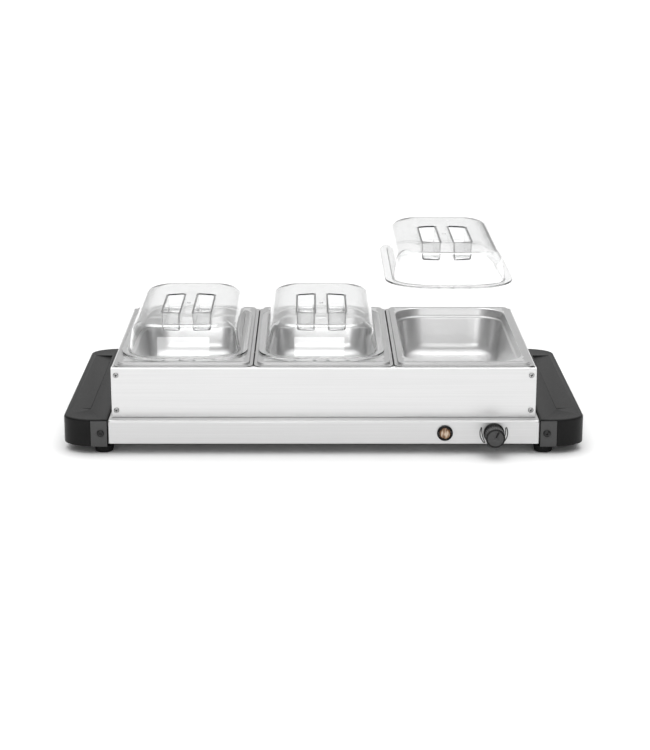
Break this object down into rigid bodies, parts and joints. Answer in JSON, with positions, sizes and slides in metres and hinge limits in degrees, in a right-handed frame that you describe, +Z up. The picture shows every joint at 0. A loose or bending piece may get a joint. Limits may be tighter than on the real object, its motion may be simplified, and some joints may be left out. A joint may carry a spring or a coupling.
{
  "type": "electric buffet server",
  "caption": "Electric food warmer: heated base with moulded end handles, lift-off stainless frame, food pans, clear lids with recessed grips, thermostat knob and lamp.",
  "frame": {"origin": "on the table, under the middle of the whole object's bounding box", "axes": "+X to the user's right along the long side, +Y away from the user, +Z up"},
  "size_m": [0.656, 0.42, 0.2458],
  "materials": {
    "brushed_steel": "horizontally brushed stainless sheet",
    "satin_steel": "satin drawn stainless",
    "zinc_steel": "zinc plated",
    "aluminium": "plain sheet",
    "dark_steel": "blackened",
    "black_plastic": "finely textured",
    "grey_metal": "textured dark grey powder coat",
    "clear_plastic": "clear polished",
    "amber_lens": "clear amber",
    "rubber": "matt",
    "cream_phenolic": "moulded",
    "wire": "silicone insulation"
  },
  "bodies": {
    "base": {"bottom_plate": "zinc_steel", "cable_gland": "black_plastic", "cutout_lead": "wire", "earth_lead": "wire", "earth_stud": "zinc_steel", "gland_nut": "black_plastic", "heat_shield": "aluminium", "heat_spreader": "aluminium", "heater_lead": "wire", "heating_element": "dark_steel", "hot_plate": "brushed_steel", "lamp_bezel": "black_plastic", "lamp_holder": "black_plastic", "lamp_lead": "wire", "lamp_lens": "amber_lens", "left_element_clamp": "zinc_steel", "left_front_bracket": "grey_metal", "left_front_bracket_screw": "dark_steel", "left_front_foot": "rubber", "left_handle": "black_plastic", "left_rear_bracket": "grey_metal", "left_rear_bracket_screw": "dark_steel", "left_rear_foot": "rubber", "live_lead": "wire", "neutral_lead": "wire", "right_element_clamp": "zinc_steel", "right_front_bracket": "grey_metal", "right_front_bracket_screw": "dark_steel", "right_front_foot": "rubber", "right_handle": "black_plastic", "right_rear_bracket": "grey_metal", "right_rear_bracket_screw": "dark_steel", "right_rear_foot": "rubber", "terminal_block": "cream_phenolic", "thermal_cutout": "cream_phenolic", "thermostat": "cream_phenolic", "thermostat_nut": "zinc_steel"},
    "knob": {"control_knob": "black_plastic", "thermostat_spindle": "zinc_steel"},
    "pan_frame": {"frame_front_panel": "brushed_steel", "frame_left_panel": "brushed_steel", "frame_rear_panel": "brushed_steel", "frame_right_panel": "brushed_steel", "left_front_lower_screw": "zinc_steel", "left_front_upper_screw": "zinc_steel", "left_rear_lower_screw": "zinc_steel", "left_rear_upper_screw": "zinc_steel", "right_front_lower_screw": "zinc_steel", "right_front_upper_screw": "zinc_steel", "right_rear_lower_screw": "zinc_steel", "right_rear_upper_screw": "zinc_steel"},
    "left_pan": {"left_pan": "satin_steel"},
    "left_lid": {"left_lid": "clear_plastic"},
    "centre_pan": {"centre_pan": "satin_steel"},
    "centre_lid": {"centre_lid": "clear_plastic"},
    "right_pan": {"right_pan": "satin_steel"},
    "right_lid": {"right_lid": "clear_plastic"}
  },
  "joints": [
    {"name": "frame_lift", "type": "slide", "parent": "base", "child": "pan_frame", "axis": [0, 0, 1], "range_m": [0, 0.12]},
    {"name": "left_pan_lift", "type": "slide", "parent": "pan_frame", "child": "left_pan", "axis": [0, 0, 1], "range_m": [0, 0.09]},
    {"name": "centre_pan_lift", "type": "slide", "parent": "pan_frame", "child": "centre_pan", "axis": [0, 0, 1], "range_m": [0, 0.09]},
    {"name": "right_pan_lift", "type": "slide", "parent": "pan_frame", "child": "right_pan", "axis": [0, 0, 1], "range_m": [0, 0.09]},
    {"name": "left_lid_lift", "type": "slide", "parent": "left_pan", "child": "left_lid", "axis": [0, 0, 1], "range_m": [0, 0.085]},
    {"name": "centre_lid_lift", "type": "slide", "parent": "centre_pan", "child": "centre_lid", "axis": [0, 0, 1], "range_m": [0, 0.085]},
    {"name": "right_lid_lift", "type": "slide", "parent": "right_pan", "child": "right_lid", "axis": [-0.1849, 0, 0.9828], "range_m": [-0.0943, 0.02]},
    {"name": "knob_turn", "type": "hinge", "parent": "base", "child": "knob", "pos_m": [0.213, -0.1845, 0.0272], "axis": [0, 1, 0], "range_deg": [-25, 245]}
  ]
}
